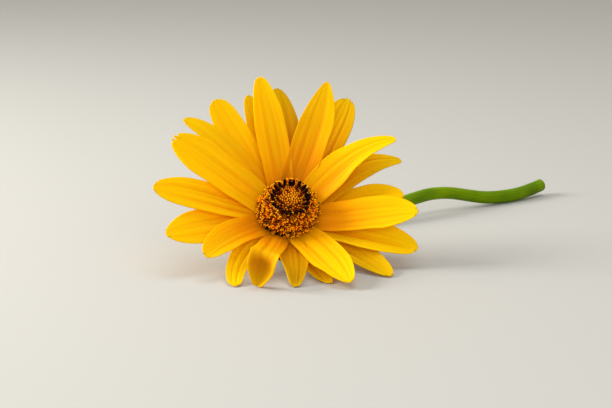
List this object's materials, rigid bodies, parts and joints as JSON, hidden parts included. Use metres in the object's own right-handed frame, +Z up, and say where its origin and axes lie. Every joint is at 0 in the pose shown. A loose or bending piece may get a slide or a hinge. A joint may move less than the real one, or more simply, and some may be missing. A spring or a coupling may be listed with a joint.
{
  "type": "daisy flower",
  "caption": "Picked yellow daisy flower lying on its side: ray petals round a domed, dark-ringed disc on a bent green stem.",
  "frame": {"origin": "middle of the flower's bounding box, on the surface it lies on", "axes": "+Z up from the surface; the flower's face looks towards -Y and up, and its stem runs back and to the right, towards +X and +Y"},
  "size_m": [0.1267, 0.1234, 0.0523],
  "materials": {
    "petal_yellow": "satin",
    "floret_orange": "satin",
    "floret_maroon": "satin",
    "bud_amber": "satin",
    "bract_green": "satin",
    "stem_green": "satin"
  },
  "bodies": {
    "root": {"ray_petal_01": "petal_yellow", "ray_petal_02": "petal_yellow", "ray_petal_03": "petal_yellow", "ray_petal_04": "petal_yellow", "ray_petal_05": "petal_yellow", "ray_petal_06": "petal_yellow", "ray_petal_07": "petal_yellow", "ray_petal_08": "petal_yellow", "ray_petal_09": "petal_yellow", "ray_petal_10": "petal_yellow", "ray_petal_11": "petal_yellow", "ray_petal_12": "petal_yellow", "ray_petal_13": "petal_yellow", "ray_petal_14": "petal_yellow", "ray_petal_15": "petal_yellow", "ray_petal_16": "petal_yellow", "ray_petal_17": "petal_yellow", "ray_petal_18": "petal_yellow", "ray_petal_19": "petal_yellow", "ray_petal_20": "petal_yellow", "ray_petal_21": "petal_yellow", "ray_petal_22": "petal_yellow", "disc_florets_open": "floret_orange", "disc_florets_dark": "floret_maroon", "disc_buds": "bud_amber", "involucre": "bract_green", "stem": "stem_green"}
  },
  "joints": []
}
